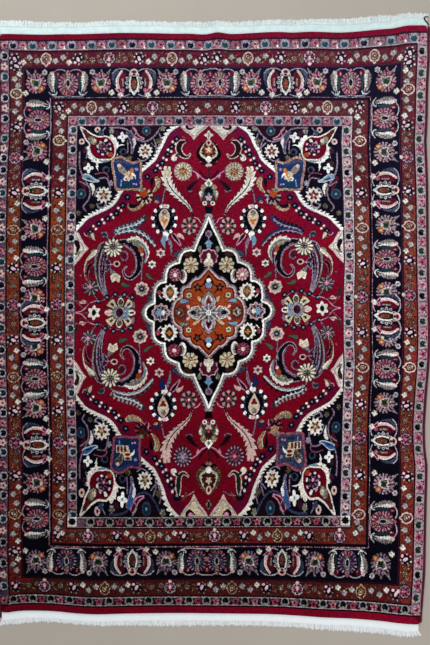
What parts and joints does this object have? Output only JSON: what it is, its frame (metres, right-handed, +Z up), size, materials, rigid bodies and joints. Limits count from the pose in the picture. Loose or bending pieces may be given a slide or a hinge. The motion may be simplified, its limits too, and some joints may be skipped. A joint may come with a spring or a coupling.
{
  "type": "persian rug",
  "caption": "Hand-knotted wool rug lying flat, with a central medallion, matching corners, a wide floral border, overcast sides and short-fringed flat-woven cotton ends.",
  "frame": {"origin": "centre of the whole rug's bounding box, on the floor that its underside rests on", "axes": "+Y along the warps from the near end to the far end, the rug's length; +X along its width to the right; +Z up out of the pile"},
  "size_m": [2.006, 2.8686, 0.0105],
  "materials": {
    "wool_pile": "clipped knotted wool pile, matt with a soft sheen",
    "wool_overcast": "wine-red wool yarn wrapped side by side over the side warps",
    "cotton_web": "undyed bleached cotton, plain-woven ends and loose warp ends"
  },
  "bodies": {
    "root": {"pile_body": "wool_pile", "selvedge_left": "wool_overcast", "selvedge_right": "wool_overcast", "fringed_end_far": "cotton_web", "fringed_end_near": "cotton_web", "yarn_tail": "wool_overcast"}
  },
  "joints": []
}
